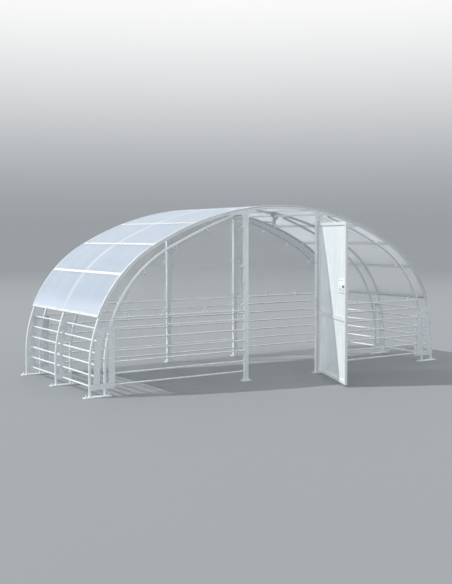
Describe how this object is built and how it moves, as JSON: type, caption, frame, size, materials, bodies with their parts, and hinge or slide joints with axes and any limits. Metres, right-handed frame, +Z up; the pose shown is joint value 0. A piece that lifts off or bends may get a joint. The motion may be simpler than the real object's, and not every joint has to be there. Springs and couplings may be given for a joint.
{
  "type": "bike shelter",
  "caption": "Open bike shelter with arched tube ribs, curved translucent roof, railed walls, clear end windows and one hinged door.",
  "frame": {"origin": "centre of the outermost anchor holes of the corner base plates, on the ground plane under the plates", "axes": "+X to the right along the front, +Y from the front towards the back, +Z up"},
  "size_m": [5.82, 3.2522, 2.3108],
  "materials": {
    "galvanised_tube": "hot-dip galvanised, matt grey",
    "galvanised_plate": "hot-dip galvanised plate",
    "galvanised_rod": "galvanised bent rod",
    "galvanised_door_tube": "galvanised rectangular tube",
    "galvanised_sheet": "bright galvanised sheet",
    "hinge_steel": "zinc-plated hinge steel",
    "roof_strip": "mill-finish aluminium strip",
    "multiwall_sheet": "translucent multiwall polycarbonate",
    "clear_sheet": "clear polycarbonate sheet",
    "black_knob": "black moulded plastic"
  },
  "bodies": {
    "frame": {"arch_base_plates": "galvanised_plate", "back_centre_panel": "clear_sheet", "back_centre_rails": "galvanised_tube", "back_foot_plates": "galvanised_plate", "back_gussets": "galvanised_plate", "back_inner_arches": "galvanised_tube", "back_left_panel": "clear_sheet", "back_left_rails": "galvanised_tube", "back_lugs": "galvanised_rod", "back_outer_arch": "galvanised_tube", "back_posts": "galvanised_tube", "back_right_panel": "clear_sheet", "back_right_rails": "galvanised_tube", "back_roof_trim": "roof_strip", "cover_strips": "roof_strip", "eave_trims": "roof_strip", "front_foot_plates": "galvanised_plate", "front_gussets": "galvanised_plate", "front_inner_arches": "galvanised_tube", "front_left_panel": "clear_sheet", "front_left_rails": "galvanised_tube", "front_lugs": "galvanised_rod", "front_outer_arch": "galvanised_tube", "front_posts": "galvanised_tube", "front_right_panel": "clear_sheet", "front_right_rails": "galvanised_tube", "front_roof_trim": "roof_strip", "left_roof_sheet": "multiwall_sheet", "left_side_rails": "galvanised_tube", "main_roof_sheet": "multiwall_sheet", "middle_foot_plates": "galvanised_plate", "middle_gussets": "galvanised_plate", "middle_inner_arches": "galvanised_tube", "middle_outer_arch": "galvanised_tube", "post_base_plates": "galvanised_plate", "post_hinges": "hinge_steel", "purlins": "galvanised_tube", "right_side_rails": "galvanised_tube", "tie_bar": "galvanised_tube"},
    "door": {"door_stiles": "galvanised_door_tube", "door_rails": "galvanised_door_tube", "door_sheets": "galvanised_sheet", "door_lock_plate": "galvanised_sheet", "door_knobs": "black_knob", "door_hinges": "hinge_steel"}
  },
  "joints": [
    {"name": "door_hinge", "type": "hinge", "parent": "frame", "child": "door", "pos_m": [0.6, -1.06285, 0], "axis": [0, 0, 1], "range_deg": [-67, 43]}
  ]
}
